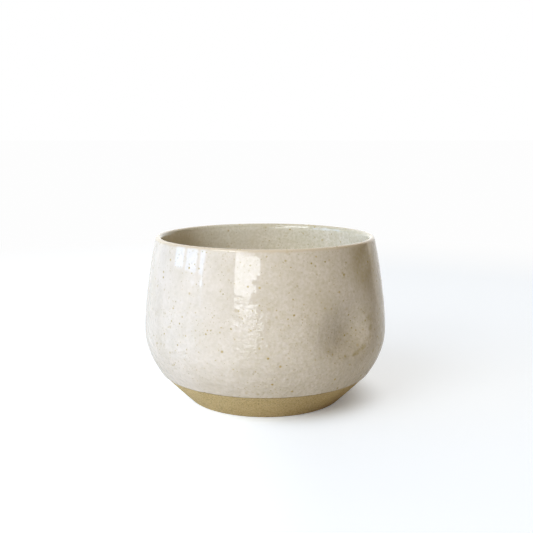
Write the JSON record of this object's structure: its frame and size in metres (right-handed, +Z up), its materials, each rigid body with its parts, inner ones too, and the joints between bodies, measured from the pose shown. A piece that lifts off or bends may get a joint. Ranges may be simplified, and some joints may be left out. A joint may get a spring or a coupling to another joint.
{
  "type": "handleless stoneware cup",
  "caption": "Small handleless cup for a cortado: stoneware with a flared bare-clay foot, round belly, speckled gloss glaze, thin tan lip and a thumb dimple in the wall.",
  "frame": {"origin": "middle of the plane that the foot ring stands on", "axes": "+Z up the cup's axis to the open mouth, -Y the front as pictured, with the thumb dimple between -Y and +X"},
  "size_m": [0.0844, 0.0844, 0.057],
  "materials": {
    "bare_stoneware": "bare fired clay, sandy and matt",
    "speckled_glaze": "glossy off-white glaze with iron specks",
    "thin_glaze": "glossy glaze, thin enough for the tan clay to show"
  },
  "bodies": {
    "root": {"stoneware_body": "bare_stoneware", "outer_glaze": "speckled_glaze", "inner_glaze": "speckled_glaze", "rim_glaze": "thin_glaze"}
  },
  "joints": []
}
